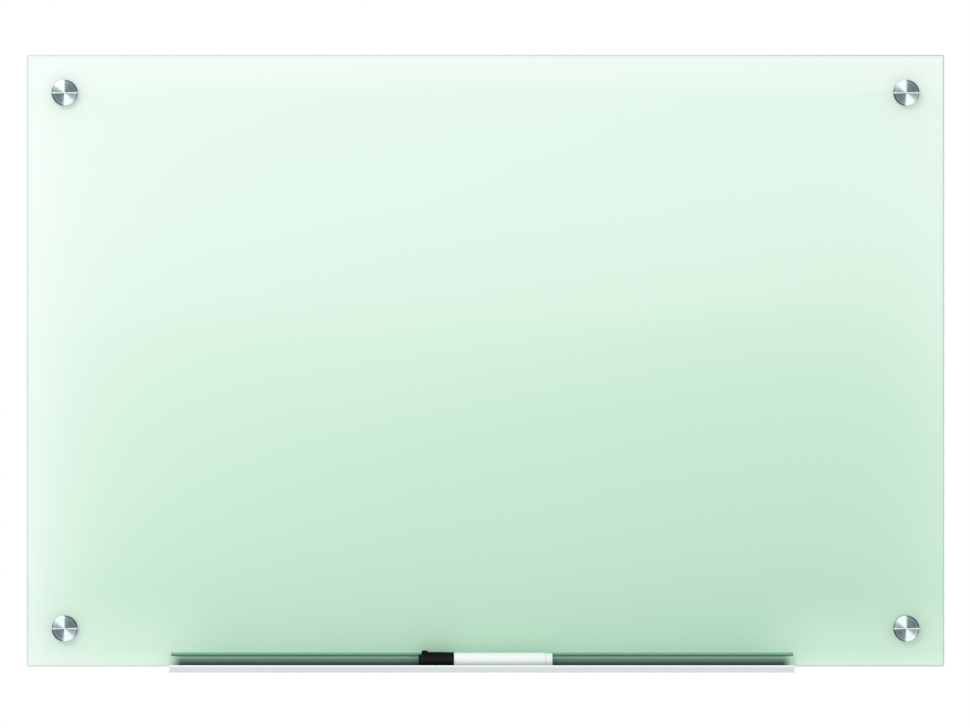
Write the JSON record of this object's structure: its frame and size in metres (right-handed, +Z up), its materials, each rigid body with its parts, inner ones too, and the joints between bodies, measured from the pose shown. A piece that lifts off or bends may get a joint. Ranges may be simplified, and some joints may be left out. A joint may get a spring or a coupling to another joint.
{
  "type": "glass whiteboard",
  "caption": "Frameless frosted glass writing board on wall standoffs, with a clip-on aluminium marker tray and a capped marker.",
  "frame": {"origin": "on the plane of the wall, in the middle of the four fixings", "axes": "+Z up, -Y forward from the wall towards the user, +X to the right as seen from the front"},
  "size_m": [0.9144, 0.0844, 0.614],
  "materials": {
    "frosted_glass": "polished front, pale green body",
    "frosted_film": "frosted",
    "turned_steel": "spun circular grain",
    "zinc_plate": "zinc plated",
    "plug_nylon": "moulded",
    "bushing_nylon": "moulded",
    "clear_plastic": "clear",
    "satin_aluminium": "satin anodised",
    "liner_vinyl": "soft extruded",
    "black_plastic": "moulded",
    "white_plastic": "moulded",
    "inked_felt": "inked",
    "ink_fibre": "fibre"
  },
  "bodies": {
    "board": {"glass_panel": "frosted_glass", "frosted_film": "frosted_film", "standoff_barrel_top_left": "turned_steel", "standoff_barrel_top_right": "turned_steel", "standoff_barrel_bottom_left": "turned_steel", "standoff_barrel_bottom_right": "turned_steel", "wall_screw_top_left": "zinc_plate", "wall_screw_top_right": "zinc_plate", "wall_screw_bottom_left": "zinc_plate", "wall_screw_bottom_right": "zinc_plate", "wall_anchor_top_left": "plug_nylon", "wall_anchor_top_right": "plug_nylon", "wall_anchor_bottom_left": "plug_nylon", "wall_anchor_bottom_right": "plug_nylon", "rear_bushing_top_left": "bushing_nylon", "rear_bushing_top_right": "bushing_nylon", "rear_bushing_bottom_left": "bushing_nylon", "rear_bushing_bottom_right": "bushing_nylon"},
    "washer_top_left": {"front_washer_top_left": "clear_plastic"},
    "washer_top_right": {"front_washer_top_right": "clear_plastic"},
    "washer_bottom_left": {"front_washer_bottom_left": "clear_plastic"},
    "washer_bottom_right": {"front_washer_bottom_right": "clear_plastic"},
    "cap_top_left": {"standoff_cap_top_left": "turned_steel", "cap_stud_top_left": "zinc_plate"},
    "cap_top_right": {"standoff_cap_top_right": "turned_steel", "cap_stud_top_right": "zinc_plate"},
    "cap_bottom_left": {"standoff_cap_bottom_left": "turned_steel", "cap_stud_bottom_left": "zinc_plate"},
    "cap_bottom_right": {"standoff_cap_bottom_right": "turned_steel", "cap_stud_bottom_right": "zinc_plate"},
    "tray": {"tray_extrusion": "satin_aluminium", "tray_grip_liner": "liner_vinyl"},
    "marker": {"marker_barrel": "white_plastic", "marker_neck": "white_plastic", "marker_nib": "inked_felt", "marker_reservoir": "ink_fibre", "marker_end_plug": "white_plastic"},
    "pen_cap": {"marker_cap": "black_plastic"}
  },
  "joints": [
    {"name": "cap_top_left_travel", "type": "slide", "parent": "board", "child": "washer_top_left", "axis": [0, -1, 0], "range_m": [0, 0.011]},
    {"name": "cap_top_right_travel", "type": "slide", "parent": "board", "child": "washer_top_right", "axis": [0, -1, 0], "range_m": [0, 0.011]},
    {"name": "cap_bottom_left_travel", "type": "slide", "parent": "board", "child": "washer_bottom_left", "axis": [0, -1, 0], "range_m": [0, 0.011]},
    {"name": "cap_bottom_right_travel", "type": "slide", "parent": "board", "child": "washer_bottom_right", "axis": [0, -1, 0], "range_m": [0, 0.011]},
    {"name": "cap_top_left_turn", "type": "hinge", "parent": "washer_top_left", "child": "cap_top_left", "pos_m": [-0.4191, -0.03, 0.2667], "axis": [0, -1, 0], "range_deg": [0, 2520]},
    {"name": "cap_top_right_turn", "type": "hinge", "parent": "washer_top_right", "child": "cap_top_right", "pos_m": [0.4191, -0.03, 0.2667], "axis": [0, -1, 0], "range_deg": [0, 2520]},
    {"name": "cap_bottom_left_turn", "type": "hinge", "parent": "washer_bottom_left", "child": "cap_bottom_left", "pos_m": [-0.4191, -0.03, -0.2667], "axis": [0, -1, 0], "range_deg": [0, 2520]},
    {"name": "cap_bottom_right_turn", "type": "hinge", "parent": "washer_bottom_right", "child": "cap_bottom_right", "pos_m": [0.4191, -0.03, -0.2667], "axis": [0, -1, 0], "range_deg": [0, 2520]},
    {"name": "tray_shift", "type": "slide", "parent": "board", "child": "tray", "axis": [1, 0, 0], "range_m": [-0.14, 0.147]},
    {"name": "marker_lift", "type": "slide", "parent": "tray", "child": "marker", "axis": [0, 0, 1], "range_m": [0, 0.06]},
    {"name": "pen_cap_pull", "type": "slide", "parent": "marker", "child": "pen_cap", "axis": [-1, 0, 0], "range_m": [0, 0.03]}
  ],
  "couplings": [
    {"joint": "cap_top_left_travel", "follows": "cap_top_left_turn", "m_per_rad": 0.00023873},
    {"joint": "cap_top_right_travel", "follows": "cap_top_right_turn", "m_per_rad": 0.00023873},
    {"joint": "cap_bottom_left_travel", "follows": "cap_bottom_left_turn", "m_per_rad": 0.00023873},
    {"joint": "cap_bottom_right_travel", "follows": "cap_bottom_right_turn", "m_per_rad": 0.00023873}
  ]
}
